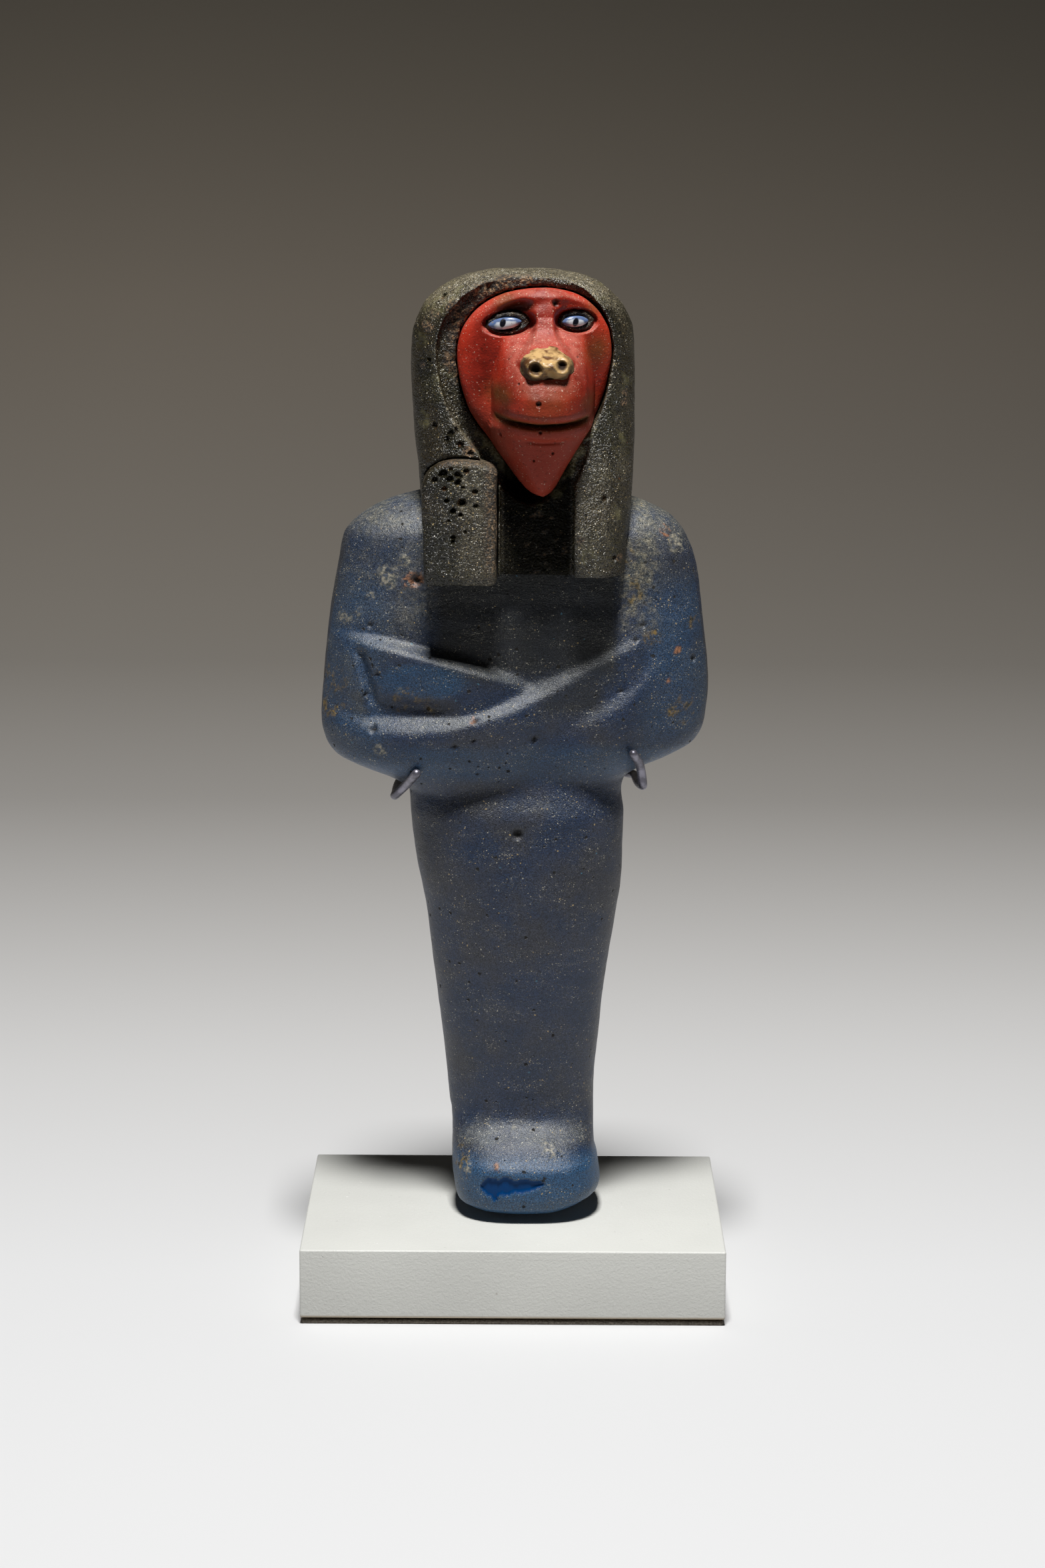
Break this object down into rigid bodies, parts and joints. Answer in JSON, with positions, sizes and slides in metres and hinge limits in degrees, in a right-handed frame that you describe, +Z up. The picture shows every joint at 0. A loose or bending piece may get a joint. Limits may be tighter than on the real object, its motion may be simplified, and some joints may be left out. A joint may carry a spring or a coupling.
{
  "type": "mounted glass funerary figure",
  "caption": "Mummiform glass figure of a baboon-headed funerary genius with crossed arms, held upright on a painted board by a bent-rod cradle.",
  "frame": {"origin": "middle of the felt's underside, where the display block rests on a table", "axes": "+Z up along the figure, the figure faces -Y, +X to the viewer's right"},
  "size_m": [0.0382, 0.0286, 0.0929],
  "materials": {
    "blue_glass": "weathered opaque dark blue glass",
    "black_glass": "glossy pitted opaque black glass",
    "red_glass": "satin opaque red glass",
    "ochre_glass": "worn opaque ochre glass",
    "rim_glass": "opaque black glass",
    "eye_glass": "opaque white and blue glass with a black pupil",
    "mount_metal": "satin lilac-grey paint on a brazed rod",
    "painted_board": "satin pale grey paint",
    "felt": "thin dark felt"
  },
  "bodies": {
    "root": {"figure_body": "blue_glass", "wig": "black_glass", "wig_lappet_end": "black_glass", "face": "red_glass", "snout": "ochre_glass", "eye_rim_left": "rim_glass", "eye_rim_right": "rim_glass", "eye_left": "eye_glass", "eye_right": "eye_glass", "mount_cradle": "mount_metal", "plinth_block": "painted_board", "felt_pad": "felt"}
  },
  "joints": []
}
